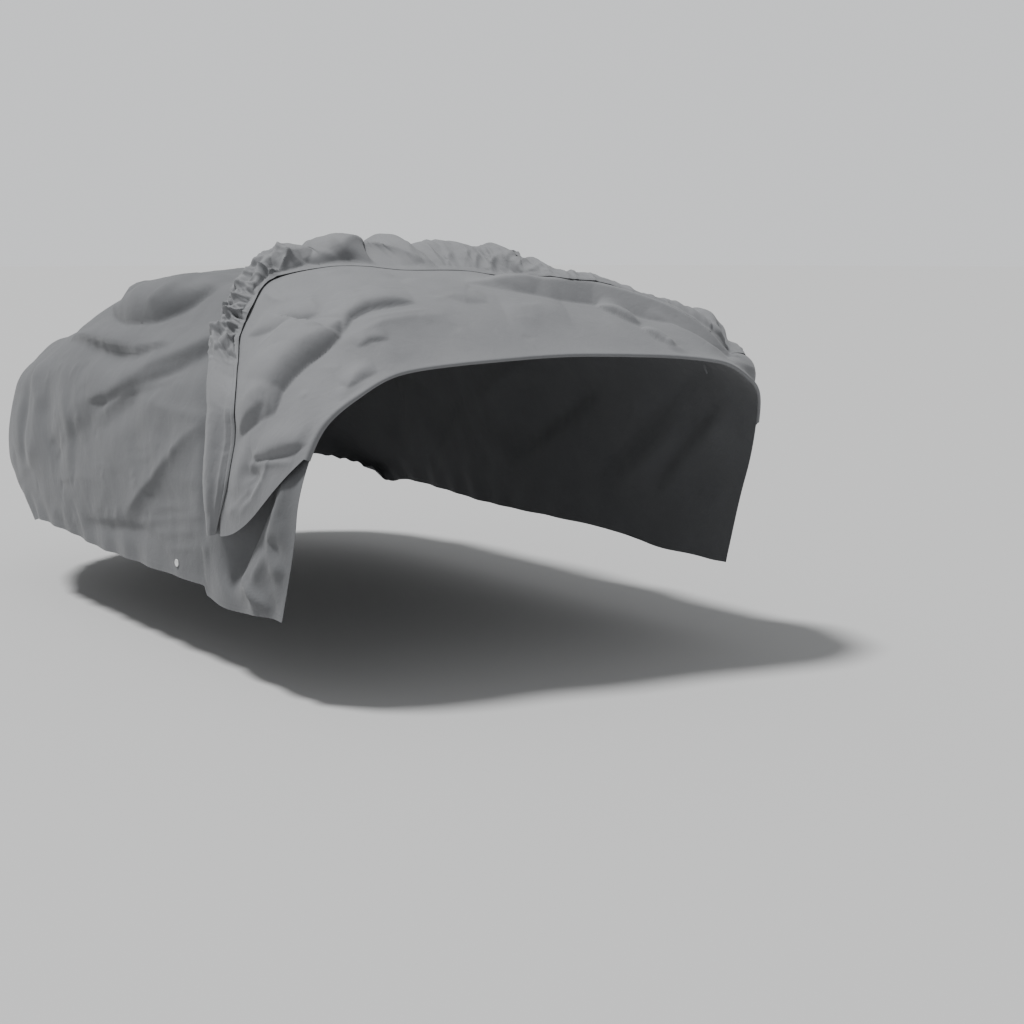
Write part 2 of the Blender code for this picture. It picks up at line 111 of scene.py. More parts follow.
key_light = bpy.data.objects.new("broad_light", bpy.data.lights.new("broad_light", "SUN"))
key_light.data.angle = math.radians(LIGHT_SOFTNESS)
key_light.data.energy = LIGHT_STRENGTH
key_light.rotation_euler = LIGHT_FROM.to_track_quat("Z", "Y").to_euler()
bpy.context.scene.collection.objects.link(key_light)

# ==== the lower layer ========================================================================
# Rear and top of the cover: thin grey nonwoven cloth, cut and sewn to a fitted shape and pulled
# down at the rear and the sides. Its own weight and the elastic in its hem hold it.

CLOTH = 0.0016           # thickness
SMOOTH_ANGLE = 60        # degrees; flatter edges are shaded smooth
ORIGIN_X = -1.75         # top of the cover, on the scale of the sections
ORIGIN_Z = -GROUND       # underside of the cloth at its top, above the ground
ALONG_REACH = 3.9        # metres of cloth per unit along
ACROSS_REACH = 1.75      # metres of cloth per unit across, from the middle to a hem

# Sections from the rear hem to the front fold, in centimetres. Each holds x, distance from the
# middle and height at seven places from the side hem up to the middle of the cover.
SECTION_PLACES = (0.0, 0.20, 0.37, 0.50, 0.66, 0.82, 1.0)
SECTIONS = {
    "rear_hem": ((-325, 86, 40), (-353, 80, 43), (-372, 70, 44), (-382, 57, 44), (-389, 42, 44),
                 (-392, 22, 44), (-393, 0, 44)),
    "bumper": ((-318, 93, 33), (-350, 90, 52), (-375, 78, 62), (-386, 64, 66), (-394, 47, 68),
               (-397, 24, 68), (-398, 0, 68)),
    "boot_edge": ((-306, 95, 35), (-334, 94, 62), (-360, 83, 88), (-372, 69, 98),
                  (-382, 51, 106), (-386, 26, 108), (-388, 0, 108)),
    "boot_lid": ((-288, 95.5, 34.5), (-306, 96, 64), (-328, 88, 95), (-338, 77, 103),
                 (-350, 61, 110), (-354, 33, 112.5), (-355, 0, 113.5)),
    "window_foot": ((-266, 95.5, 33.5), (-280, 96.5, 65), (-294, 91, 98), (-300, 80, 112),
                    (-306, 62, 122), (-310, 33, 127.5), (-312, 0, 129)),
    "roof_rear": ((-236, 95.5, 32), (-246, 97, 65), (-256, 92, 99), (-261, 79, 120),
                  (-266, 62, 134), (-269, 33, 139.5), (-270, 0, 141)),
    "roof_mid": ((-198, 95.5, 32), (-200, 97, 65), (-204, 93, 98), (-206, 79, 122),
                 (-208, 62, 138.5), (-210, 33, 144), (-210, 0, 145.3)),
    "roof_front": ((-158, 95.5, 32), (-156, 97, 65), (-156, 92, 98), (-154, 78, 121),
                   (-152, 62, 137), (-152, 33, 143.5), (-152, 0, 145.2)),
    "screen_top": ((-124, 95.5, 29), (-118, 96.5, 65), (-114, 91, 97), (-111, 77, 116),
                   (-108, 61, 128.5), (-106, 33, 134.5), (-105, 0, 136)),
    "front_fold": ((-97, 95, 29), (-86, 95, 65), (-83, 87, 93), (-80, 75, 104), (-78, 58, 111.5),
                   (-69, 30, 114.5), (-63, 0, 115.5)),
}
# the front fold runs further forward on the left side
LEFT_FOLD = ((-80, 95, 29), (-70, 95, 65), (-56, 86, 95), (-50, 75, 104), (-48, 57, 111.5),
             (-54, 30, 114.5))
LEFT_FOLD_REACH = ((-2, 0.45), (-3, 0.12))   # how far the sections behind it follow

# the hem: its turned-in edge stands out by the first over the distances after it
HEM_EDGE = (0.0012, 0.020, 0.026)
# the right hem hangs lower by the drop, where across and from fade it in and to fades it out
LOW_HEM = {"drop": 0.032, "across": (0.80, 1.0), "from": (0.791, 0.798), "to": (0.82, 0.97)}
# gathers of the elastic hem: height, wave, how far they bend, how far they reach
REAR_GATHER = {"height": 0.010, "wave": 0.088, "bend": 3.6, "bend_wave": 7, "reach": 0.06}
REAR_UNEVEN = (0.25, 4.3, 1.6, 9.0)    # least share of their height; turn, bend and turn of the bend
SIDE_GATHER = {"height": 0.005, "wave": 0.075, "bend": 2.0, "bend_wave": 11, "from": 0.88}

# Folds: kind, height, width, reach, line of places (along, across), all in thousandths.
# A soft or crisp fold is a ridge, or a trough where its height is below zero; width is on the left
# of its line and reach on the right, as one walks along it on the outside. A step falls from left
# to right over twice its width and fades out over its reach. A lip rises on the left only, and
# falls ever steeper to a crease on the right; a brow has its crease at the top of its fall, and a
# slope has one at both ends.
BODY_FOLDS = (
    # right side, from the rear to the front
    ("brow", 42, 24, 100, ((445, -506), (520, -548), (585, -566), (635, -566), (690, -540))),
    ("soft", -20, 50, 60, ((520, -556), (596, -575), (665, -550))),
    ("lip", 82, 64, 110, ((540, -450), (600, -470), (640, -462), (670, -424), (705, -355))),
    ("soft", 11, 18, 30, ((530, -380), (560, -463), (579, -525))),
    ("step", 23, 26, 80,
     ((560, -676), (610, -652), (645, -624), (680, -594), (715, -562), (760, -510), (800, -480))),
    ("crisp", 12, 16, 22, ((560, -712), (634, -642), (661, -622), (694, -604), (735, -580))),
    ("soft", -8, 12, 14, ((655, -604), (680, -582), (700, -568), (722, -553))),
    ("step", 7, 26, 70, ((560, -735), (595, -700), (625, -668), (650, -650))),
    ("step", 16, 60, 150, ((400, -775), (503, -729), (563, -690), (610, -660))),
    ("crisp", 17, 35, 90, ((650, -640), (704, -651), (740, -655), (795, -655))),
    ("crisp", 23, 60, 30,
     ((620, -895), (650, -852), (690, -797), (725, -746), (760, -696), (792, -660))),
    ("soft", -5, 75, 85, ((680, -900), (720, -840), (760, -780), (800, -700))),
    ("soft", 15, 60, 40, ((300, -470), (372, -610), (378, -690), (345, -765), (270, -860))),
    ("soft", 11, 50, 50, ((400, -560), (360, -653), (336, -737), (270, -860))),
    ("soft", -18, 45, 40, ((340, -600), (300, -720), (240, -850))),
    ("soft", 44, 85, 85, ((505, -345), (515, -240))),
    ("soft", -15, 80, 80, ((420, -640), (430, -740), (400, -860))),
    ("soft", 11, 40, 50, ((480, -600), (500, -720), (470, -860))),
    ("crisp", 4.3, 14, 20, ((405, -560), (420, -620), (400, -700))),
    ("crisp", 4.3, 15, 25, ((636, -740), (679, -730), (725, -716))),
    ("crisp", 4.3, 16, 22, ((640, -760), (680, -752), (712, -738))),
    ("crisp", 3.9, 14, 22, ((552, -800), (585, -790), (615, -793))),
    ("crisp", 3.9, 16, 22, ((420, -858), (517, -829), (585, -826))),
    ("crisp", 5.2, 14, 20, ((690, -857), (729, -838), (770, -829))),
    ("crisp", 4.3, 13, 20, ((655, -896), (704, -878), (749, -858), (805, -835))),
    ("crisp", 3.9, 12, 18, ((660, -922), (724, -901), (805, -868))),
    ("crisp", 3.9, 12, 18, ((700, -946), (754, -927), (800, -908))),
    ("soft", -11, 30, 35, ((480, -960), (571, -940), (640, -925), (700, -920))),
    ("soft", -15, 20, 30, ((750, -545), (790, -655), (803, -766), (800, -900))),
    # lower right front corner, below the turned-back front
    ("soft", -75, 80, 50, ((845, -960), (875, -890), (905, -815), (945, -740))),
    ("crisp", 27, 30, 55, ((945, -870), (956, -817), (966, -766), (974, -705))),
    ("crisp", 24, 20, 30, ((880, -925), (913, -950), (940, -967), (970, -985))),
    ("crisp", 17, 20, 30, ((912, -940), (930, -905), (946, -868))),
    ("step", 14, 18, 50, ((990, -905), (966, -878), (948, -852))),
    ("crisp", 14, 16, 20, ((905, -930), (921, -957), (940, -992))),
    ("soft", 13, 45, 45, ((975, -800), (982, -880), (985, -970))),
    # rear and top
    ("soft", -29, 60, 60, ((300, -200), (345, 20), (330, 250))),
    ("soft", 20, 50, 50, ((480, -250), (520, 50), (500, 300))),
    ("soft", -22, 55, 55, ((600, -100), (630, 120), (600, 340))),
    ("soft", -24, 50, 50, ((160, -300), (180, -100), (170, 120))),
    ("soft", 20, 50, 50, ((120, 100), (200, 300), (270, 500))),
    ("step", 19, 30, 100, ((230, 300), (215, 60), (225, -200), (250, -380))),
    ("crisp", 15, 20, 45, ((70, -420), (150, -300), (240, -130), (290, 20))),
    ("crisp", 15, 22, 40, ((80, 330), (150, 210), (240, 120))),
    ("crisp", 14, 20, 30, ((380, 330), (450, 140), (540, -60))),
    ("step", 16, 26, 80, ((640, 340), (620, 120), (640, -120), (690, -300))),
    # left side
    ("step", 32, 40, 120, ((700, 520), (620, 560), (540, 545), (450, 480))),
    ("crisp", 41, 35, 70, ((600, 860), (680, 760), (780, 640))),
    ("soft", -29, 60, 60, ((560, 740), (660, 630), (740, 560))),
    ("soft", 24, 50, 50, ((370, 580), (340, 720), (260, 860))),
    ("soft", -24, 60, 60, ((800, 900), (860, 780), (900, 700))),
    ("crisp", 27, 30, 50, ((740, 900), (830, 740), (900, 600), (960, 520))),
    ("step", 19, 30, 90, ((950, 660), (900, 760), (860, 880))),
    ("crisp", 17, 20, 45, ((420, 880), (500, 760), (560, 680))),
    ("crisp", 14, 20, 30, ((300, 620), (380, 700), (480, 720))),
)
# small wrinkles strewn over the cloth: heading and its spread in degrees from the run of the cover,
# length, width and height in metres
STREWN = (
    # count, along from, to, across from, to, heading, spread, length, width, height
    (52, 0.42, 0.80, -0.96, -0.55, 24, 36, 0.14, 0.011, 0.0036),
    (12, 0.10, 0.42, -0.95, -0.45, 50, 40, 0.20, 0.030, 0.0036),
    (22, 0.60, 0.82, -0.55, -0.10, 35, 35, 0.20, 0.016, 0.0044),
    (30, 0.06, 0.60, -0.45, 0.45, 60, 50, 0.24, 0.018, 0.0046),
    (20, 0.60, 0.95, -0.10, 0.50, 50, 50, 0.22, 0.018, 0.0044),
    (60, 0.20, 0.96, 0.50, 0.95, -20, 40, 0.20, 0.018, 0.0036),
    (12, 0.86, 0.99, -0.97, -0.82, 60, 40, 0.10, 0.012, 0.0024),
)
STREWN_SEED = 11
SWELL = ((0.55, 0.006), (0.24, 0.002))    # slow unevenness: wave, height
BODY_FACETS = ((0.30, 0.0036, 3), (0.12, 0.0016, 7))    # cell, height, seed
FACETS_FADE = (0.30, 0.50)    # along the cover they fade in here
FOLDS_FADE = (0.97, 1.0)      # the folds fade out here, at the front fold
FRONT_FADE = (0.985, 1.0)     # and everything else here

# how the kinds of folds are shaped
CREASE_BEND = 2.4        # how hollow a lip or a brow falls
STEP_SHARPNESS = 5       # how suddenly a step begins and ends
SOFT = (2.0, 0.0)        # power and rounding of a soft fold
CRISP = (1.1, 0.01)      # and of a crisp one
END_FADE = 2.6           # how late a fold fades towards its ends
FOLD_CUT = 4             # a fold is left out past this many of its widths
NORMAL_STEP = 0.004      # how far apart places are for a direction on the cloth

# rows from the rear hem to the front fold, columns from the right hem to the left hem
HEM_STOPS = (0.0014, 0.006, 0.0074)         # close rows and columns that shape the hem
BODY_ROW_STOPS = ((0.20, 44), (0.42, 52), (0.82, 128), (1.0, 30))
BODY_COLUMN_STOPS = ((-0.40, 100), (0.25, 38), (1.0, 40))


def calm_slopes(before, after):
    """Slopes at stations from those before and after them; none where they turn, so nothing bulges."""
    turn = before * after
    return np.where(turn > 0, 2 * turn / np.where(turn > 0, before + after, 1), 0)


def cubic(t, width, start, end, start_slope, end_slope):
    """Curve from start to end, a width apart, with a slope at each; t 0 to 1."""
    return ((2 * t**3 - 3 * t**2 + 1) * start + (t**3 - 2 * t**2 + t) * width * start_slope
            + (3 * t**2 - 2 * t**3) * end + (t**3 - t**2) * width * end_slope)


def monotone(stations, values, at):
    """Curve through the values at the stations that never bulges past them, read off at each place."""
    stations = np.asarray(stations, float)
    slope = np.diff(values, axis=0) / np.diff(stations)[:, None]
    tangent = np.concatenate([slope[:1], calm_slopes(slope[:-1], slope[1:]), slope[-1:]])
    cell = np.clip(np.searchsorted(stations, at, side="right") - 1, 0, len(stations) - 2)
    width = (stations[cell + 1] - stations[cell])[:, None]
    t = (at - stations[cell])[:, None] / width
    return cubic(t, width, values[cell], values[cell + 1], tangent[cell], tangent[cell + 1])


def section_rows():
    """The sections with both halves, from the right hem over the middle to the left hem."""
    half = np.array(list(SECTIONS.values())) / 100
    left = half[:, -2::-1].copy()
    ahead = np.array(LEFT_FOLD)[::-1] / 100
    step = ahead[:, 0] - left[-1, :, 0]
    left[-1] = ahead
    for row, share in LEFT_FOLD_REACH:
        left[row, :, 0] += share * step
    places = np.array(SECTION_PLACES)
    both = np.concatenate([half * (1, -1, 1), left], axis=1) - (ORIGIN_X, 0, ORIGIN_Z)
    return both, np.concatenate([places - 1, (1 - places)[-2::-1]])


ROWS, ROW_PLACES = section_rows()


def body(along, across):
    """Points of the smooth covered shape; along 0 rear hem to 1 front fold, across -1 to 1."""
    along_places = np.linspace(0, 1, len(ROWS))
    rows = monotone(along_places, ROWS.reshape(len(ROWS), -1), along).reshape(len(along), -1, 3)
    slope = np.diff(rows, axis=1) / np.diff(ROW_PLACES)[None, :, None]
    middle = calm_slopes(slope[:, :-1], slope[:, 1:])
    tangent = np.concatenate([slope[:, :1], middle, slope[:, -1:]], axis=1)
    cell = np.clip(np.searchsorted(ROW_PLACES, across, side="right") - 1, 0, len(ROW_PLACES) - 2)
    width = (ROW_PLACES[cell + 1] - ROW_PLACES[cell])[:, None]
    t = (across - ROW_PLACES[cell])[:, None] / width
    k = np.arange(len(along))
    return cubic(t, width, rows[k, cell], rows[k, cell + 1], tangent[k, cell], tangent[k, cell + 1])


def unit(vectors):
    """The vectors, each with a length of 1."""
    return vectors / np.linalg.norm(vectors, axis=-1, keepdims=True)


def frame_at(along, across):
    """Forward direction and outward normal of the covered shape."""
    forward = (body(np.minimum(along + NORMAL_STEP, 1), across)
               - body(np.maximum(along - NORMAL_STEP, 0), across))
    sideways = (body(along, np.minimum(across + NORMAL_STEP, 1))
                - body(along, np.maximum(across - NORMAL_STEP, -1)))
    normal = unit(np.cross(forward, sideways))
    return unit(forward - normal * np.sum(forward * normal, axis=1)[:, None]), normal


def smooth_step(value, low, high):
    """0 up to the low value, 1 from the high one, and smooth between them."""
    t = np.clip((value - low) / (high - low), 0, 1)
    return t * t * (3 - 2 * t)


RAMPS = {
    "lip": lambda t: 1 - t**CREASE_BEND,
    "brow": lambda t: (1 - t) ** CREASE_BEND,
    "slope": lambda t: 1 - t,
}


def fold_profile(kind, height, width, reach, side, distance, fade):
    """Height of one fold at a distance from its line; side is above zero on the left of the line."""
    half = np.maximum(width * fade, 1e-5)
    if kind in RAMPS:
        t = np.clip((half - side) / (2 * half), 0, 1)
        ramp = RAMPS[kind](t)
        beyond = np.maximum(np.where(side > 0, distance - half, 0), 0) / reach
        return height * fade * ramp * np.exp(-beyond**2)
    if kind == "step":
        ramp = side / half
        ramp = ramp / (1 + np.abs(ramp) ** STEP_SHARPNESS) ** (1 / STEP_SHARPNESS)
        beyond = np.maximum(distance - half, 0) / reach
        return height * fade * ramp * np.exp(-beyond**2)
    spread = np.where(side > 0, width, reach)
    power, rounding = SOFT if kind == "soft" else CRISP
    return height * fade * np.exp(-((distance / spread) ** 2 + rounding) ** (power / 2))


def read_folds(rows):
    """Folds from a table in thousandths."""
    return [(kind, height / 1000, width / 1000, reach / 1000, np.array(line) / 1000)
            for kind, height, width, reach, line in rows]


def fold_height(folds, points, normals, placed=None):
    """Sum of the folds at points of the smooth shape; placed turns a fold's line into points."""
    total = np.zeros(len(points))
    for kind, height, width, reach, line in folds:
        corners = (placed or body)(line[:, 0], line[:, 1])
        runs = np.diff(corners, axis=0)
        lengths = np.linalg.norm(runs, axis=1)
        starts = np.concatenate([[0], np.cumsum(lengths)]) / lengths.sum()
        limit = FOLD_CUT * max(width, reach) + lengths.max()
        near = np.where(np.min([np.abs(points - c).max(axis=1) for c in corners], axis=0) < limit)[0]
        here, up = points[near], normals[near]
        distance = np.full(len(near), np.inf)
        side = np.zeros(len(near))
        place = np.zeros(len(near))
        for number, run in enumerate(runs):
            t = np.clip((here - corners[number]) @ run / (run @ run), 0, 1)
            away = here - corners[number] - t[:, None] * run
            gap = np.linalg.norm(away, axis=1)
            closer = gap < distance
            left = np.sum(away * np.cross(up, run / lengths[number]), axis=1)
            distance = np.where(closer, gap, distance)
            side = np.where(closer, left, side)
            place = np.where(closer, starts[number] + t * lengths[number] / lengths.sum(), place)
        fade = 1 - np.abs(2 * place - 1) ** END_FADE
        total[near] += fold_profile(kind, height, width, reach, side, distance, fade)
    return total


def strewn_folds(rows, seed):
    """Short wrinkles at places drawn from the rows' ranges, as folds, the same on every run."""
    dice = np.random.default_rng(seed)
    folds = []
    for count, along_from, along_to, across_from, across_to, heading, spread, length, width, height in rows:
        for _ in range(count):
            middle = np.array([dice.uniform(along_from, along_to), dice.uniform(across_from, across_to)])
            turn = math.radians(heading + spread * dice.uniform(-1, 1))
            bend = dice.uniform(-0.5, 0.5)
            half = length * dice.uniform(0.35, 1.1) / 2
            line = []
            for step in (-1, -0.35, 0.35, 1):
                angle = turn + bend * step
                line.append((middle[0] + step * half * math.cos(angle) / ALONG_REACH,
                             middle[1] + step * half * math.sin(angle) / ACROSS_REACH))
            line = np.clip(line, (0.0, -0.995), (1.0, 0.995))
            wide = width * dice.uniform(0.6, 1.5)
            rise = height * dice.uniform(0.4, 1.3) * dice.choice((1, 1, -1))
            kind = dice.choice(("crisp", "crisp", "soft"))
            folds.append((kind, rise, wide, wide * dice.uniform(1.2, 3.0), line))
    return folds


def swell(points):
    """Slow unevenness of the cloth, the same on every run."""
    total = np.zeros(len(points))
    for number, (wave, height) in enumerate(SWELL):
        a = points * (2 * math.pi / wave)
        shift = 1.7 * number
        total += height * (np.sin(a[:, 0] + 1.3 * np.sin(0.7 * a[:, 2] + shift) + shift)
                           * np.sin(a[:, 2] * 0.9 + 1.1 * np.sin(0.6 * a[:, 0] + a[:, 1]) + 2 * shift)
                           * np.cos(a[:, 1] * 0.8 + 0.9 * np.sin(0.8 * a[:, 0]) - shift))
    return total


def facets(across, upward, cell, height, seed):
    """Flat facets with crisp creases between them, as in crumpled cloth; places in metres of cloth."""
    dice = np.random.default_rng(seed)
    levels = dice.uniform(-1, 1, (64, 64))
    a = across / cell + 0.45 * np.sin(2.1 * upward / cell + 0.8) + 0.3 * np.sin(3.3 * across / cell)
    b = upward / cell + 0.45 * np.sin(1.7 * across / cell + seed) + 0.3 * np.sin(2.9 * upward / cell)
    column, row = np.floor(a).astype(int), np.floor(b).astype(int)
    p, q = a - column, b - row
    corner = [levels[(row + i) % 64, (column + j) % 64] for i in (0, 1) for j in (0, 1)]
    low = corner[0] + p * (corner[1] - corner[0]) + q * (corner[2] - corner[0])
    high = corner[3] + (1 - p) * (corner[2] - corner[3]) + (1 - q) * (corner[1] - corner[3])
    return height * np.where(p + q < 1, low, high)


def gather_turn(place, gather):
    """Angle of an uneven row of gathers."""
    return 2 * math.pi * place / gather["wave"] + gather["bend"] * np.sin(gather["bend_wave"] * place)


def pleat(angle, crisp=0.80):
    """Wave with narrow crests and straight flanks, as folded cloth has."""
    return np.arcsin(crisp * np.sin(angle)) / math.asin(crisp)


def hem_waves(along, across):
    """Gathers of the elastic hem, fading out above it."""
    rear = smooth_step(REAR_GATHER["reach"] - along, 0, REAR_GATHER["reach"])
    side = smooth_step(np.abs(across), SIDE_GATHER["from"], 1.0) * (1 - rear)
    least, turn, bend, bend_turn = REAR_UNEVEN
    high = least + (1 - least) * np.sin(turn * across + bend * np.sin(bend_turn * across)) ** 2
    return (REAR_GATHER["height"] * rear * high * pleat(gather_turn(across, REAR_GATHER))
            + SIDE_GATHER["height"] * side * np.sin(gather_turn(along, SIDE_GATHER)))


def spaced(first, stops):
    """Places from the first one over each stop, evenly spaced between them."""
    places = [np.array([first])]
    for stop, count in stops:
        places.append(np.linspace(first, stop, count + 1)[1:])
        first = stop
    return np.concatenate(places)


def hem_shape(distance):
    """The turned-in hem stands out a little."""
    return HEM_EDGE[0] * (1 - smooth_step(distance, *HEM_EDGE[1:]))


def sheet_mesh(name, places, flat):
    """Object from a grid of places; flat holds each vertex's place on the flat cloth, as its UV."""
    rows, columns = places.shape[:2]
    mesh = bpy.data.meshes.new(name)
    sheet = bmesh.new()
    bmesh.ops.create_grid(sheet, x_segments=columns - 1, y_segments=rows - 1, size=0.5)
    weave = sheet.loops.layers.uv.new("weave")
    for vertex in sheet.verts:
        vertex.co.x = round((vertex.co.x + 0.5) * (columns - 1))
        vertex.co.y = round((vertex.co.y + 0.5) * (rows - 1))
    for face in sheet.faces:
        for loop in face.loops:
            column, row = int(loop.vert.co.x), int(loop.vert.co.y)
            loop[weave].uv = flat[row, column]
    for vertex in sheet.verts:
        vertex.co = places[int(vertex.co.y), int(vertex.co.x)]
    sheet.to_mesh(mesh)
    sheet.free()
    made = bpy.data.objects.new(name, mesh)
    bpy.context.scene.collection.objects.link(made)
    return made


def thicken(made, thickness):
    """Give the sheet its thickness, half to each side, and shade it smooth."""
    wall = made.modifiers.new("thickness", "SOLIDIFY")
    wall.thickness = thickness
    wall.offset = 0
    bpy.ops.object.select_all(action="DESELECT")
    made.select_set(True)
    bpy.context.view_layer.objects.active = made
    bpy.ops.object.modifier_apply(modifier=wall.name)
    bpy.ops.object.shade_smooth_by_angle(angle=math.radians(SMOOTH_ANGLE))


def body_layer(along, across):
    """The lower layer, with its folds."""
    points = body(along, across)
    _, normal = frame_at(along, across)
    folds = fold_height(read_folds(BODY_FOLDS), points, normal)
    folds += fold_height(strewn_folds(STREWN, STREWN_SEED), points, normal)
    for cell, height, seed in BODY_FACETS:
        crumple = facets(across * ACROSS_REACH, along * ALONG_REACH, cell, height, seed)
        folds += crumple * smooth_step(along, *FACETS_FADE)
    lift = (folds + swell(points)) * (1 - smooth_step(along, *FOLDS_FADE)) + hem_waves(along, across)
    lift *= 1 - smooth_step(along, *FRONT_FADE)
    hem = np.minimum(along * ALONG_REACH, (1 - np.abs(across)) * ACROSS_REACH)
    lift += hem_shape(hem)
    draped = points + normal * lift[:, None]
    low = LOW_HEM["drop"] * smooth_step(-across, *LOW_HEM["across"])
    draped[:, 2] -= low * smooth_step(along, *LOW_HEM["from"]) * (1 - smooth_step(along, *LOW_HEM["to"]))
    return draped


hem_rows = [(stop, 1) for stop in HEM_STOPS]
right_hem = [(stop * ALONG_REACH / ACROSS_REACH - 1, 1) for stop in HEM_STOPS]
left_hem = [(1 - stop * ALONG_REACH / ACROSS_REACH, 1) for stop in reversed(HEM_STOPS)]
body_along = spaced(0.0, hem_rows + list(BODY_ROW_STOPS))
body_across = spaced(-1.0, right_hem + list(BODY_COLUMN_STOPS[:-1])
                     + [(left_hem[0][0], BODY_COLUMN_STOPS[-1][1])] + left_hem[1:] + [(1.0, 1)])
grid_along, grid_across = np.meshgrid(body_along, body_across, indexing="ij")
places = body_layer(grid_along.ravel(), grid_across.ravel()).reshape(*grid_along.shape, 3)
flat = np.stack([grid_across * ACROSS_REACH, grid_along * ALONG_REACH], axis=-1)
cover_body = sheet_mesh("cover_body", places, flat)
thicken(cover_body, CLOTH)


class Socket:
    """One output of a node; arithmetic on it adds Math nodes."""

    def __init__(self, tree, output):
        self.tree = tree
        self.output = output

    def math(self, operation, *others):
        return node(self.tree, "ShaderNodeMath", {"operation": operation}, self, *others)

    def __add__(self, other):
        return self.math("ADD", other)

    def __radd__(self, other):
        return node(self.tree, "ShaderNodeMath", {"operation": "ADD"}, other, self)

    def __sub__(self, other):
        return self.math("SUBTRACT", other)

    def __rsub__(self, other):
        return node(self.tree, "ShaderNodeMath", {"operation": "SUBTRACT"}, other, self)

    def __mul__(self, other):
        return self.math("MULTIPLY", other)

    def __rmul__(self, other):
        return node(self.tree, "ShaderNodeMath", {"operation": "MULTIPLY"}, other, self)


def node(tree, kind, settings, *inputs, output=0, **named):
    """Add a node, set its settings, then its sockets by order or by name; gives one output."""
    made = tree.nodes.new(kind)
    for key, value in settings.items():
        if key == "stops":
            ramp = made.color_ramp
            for number, (place, color) in enumerate(value):
                stop = ramp.elements[number] if number < 2 else ramp.elements.new(place)
                stop.position = place
                stop.color = color
        else:
            setattr(made, key, value)
    for key, value in list(enumerate(inputs)) + [(k.replace("_", " "), v) for k, v in named.items()]:
        if isinstance(value, Socket):
            tree.links.new(value.output, made.inputs[key])
        else:
            made.inputs[key].default_value = value
    return Socket(tree, made.outputs[output])


# patterns of the nonwoven cloth, per metre
MOTTLE = {"Scale": 5.0, "Detail": 4.0, "Roughness": 0.55}
FIBRE = {"Scale": 420.0, "Detail": 3.0, "Roughness": 0.7}
CRUMPLED = {"Scale": 26.0, "Detail": 5.0, "Roughness": 0.6, "Distortion": 0.6}
PRESS = {"Scale": 330.0, "Randomness": 0.25}
STITCH_FROM_EDGE = 0.020
STITCH_WIDTH = 0.0007
STITCH_LENGTH = 0.005
STITCH_SHARE = 0.7       # thread on the outside
# the mottle and fibre shares are the cloth's own uneven tone; the crumple share is painted shade, darker
# where the crumpled relief is low
TONE_AND_PAINTED_SHADE_SHARES = {"mottle": 0.55, "fibre": 0.30, "crumple": 0.15}    # shares of the shade between the two colours
SHADE_RANGE = (0.30, 0.70)
ROUGHNESS = (0.62, 0.22)      # least, and what the fibres add
RELIEF = {"crumple": 0.0022, "fibre": 0.00035, "press": 0.00045, "stitch": 0.0006}    # metres
RELIEF_STRENGTH = 0.9
SHEEN = 0.12
SHEEN_ROUGHNESS = 0.5
GLOSS = 0.35
OUTER_LIGHT = (0.124, 0.127, 0.1325)
OUTER_DARK = (0.102, 0.105, 0.1105)


def cloth_finish(name, light, dark, half):
    """Grey nonwoven cloth: felted fibres, a fine pressed pattern, faint mottling, painted shade in the
    hollows of the crumpled relief, a stitched hem.
    """
    made, shader = new_finish(name)
    tree = made.node_tree
    uv = node(tree, "ShaderNodeUVMap", {"uv_map": "weave"})
    where = node(tree, "ShaderNodeTexCoord", {}, output="Object")
    mottle = node(tree, "ShaderNodeTexNoise", {}, Vector=where, **MOTTLE)
    fibre = node(tree, "ShaderNodeTexNoise", {}, Vector=uv, **FIBRE)
    crumple = node(tree, "ShaderNodeTexNoise", {}, Vector=uv, **CRUMPLED)
    press = node(tree, "ShaderNodeTexVoronoi", {"feature": "SMOOTH_F1"}, Vector=uv, **PRESS)
    # the crumple share follows the same noise as the crumpled relief, so its hollows are painted darker:
    # painted shade
    shade = mottle * TONE_AND_PAINTED_SHADE_SHARES["mottle"] + fibre * TONE_AND_PAINTED_SHADE_SHARES["fibre"] + crumple * TONE_AND_PAINTED_SHADE_SHARES["crumple"]
    stops = tuple(zip(SHADE_RANGE, ((*dark, 1), (*light, 1))))
    color = node(tree, "ShaderNodeValToRGB", {"stops": stops}, shade)
    tree.links.new(color.output, shader.inputs["Base Color"])
    rough = ROUGHNESS[0] + fibre * ROUGHNESS[1]
    tree.links.new(rough.output, shader.inputs["Roughness"])
    across = node(tree, "ShaderNodeSeparateXYZ", {}, uv, output="X")
    upward = Socket(tree, across.output.node.outputs["Y"])
    edge = upward.math("MINIMUM", half - across.math("ABSOLUTE"))
    line = (STITCH_FROM_EDGE - edge).math("ABSOLUTE").math("LESS_THAN", STITCH_WIDTH)
    run = (across + upward) * (1 / STITCH_LENGTH)
    stitch = line * run.math("FRACT").math("LESS_THAN", STITCH_SHARE)
    height = (crumple * RELIEF["crumple"] + fibre * RELIEF["fibre"] + press * RELIEF["press"]
              - stitch * RELIEF["stitch"])
    bump = node(tree, "ShaderNodeBump", {}, Height=height, Distance=1.0, Strength=RELIEF_STRENGTH)
    tree.links.new(bump.output, shader.inputs["Normal"])
    shader.inputs["Sheen Weight"].default_value = SHEEN
    shader.inputs["Sheen Roughness"].default_value = SHEEN_ROUGHNESS
    shader.inputs["Specular IOR Level"].default_value = GLOSS
    return made


grey_cloth = cloth_finish("grey_nonwoven", OUTER_LIGHT, OUTER_DARK, ACROSS_REACH)
cover_body.data.materials.append(grey_cloth)
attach(cover_body, "root")
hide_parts("cover_cloth")

# ==== the turned-back front ==================================================================
# The same cloth, folded up over the top from the front edge, inside out. Dark leaf-shaped creases
# pull from its right front corner up to the top. It lies loose on the lower layer.

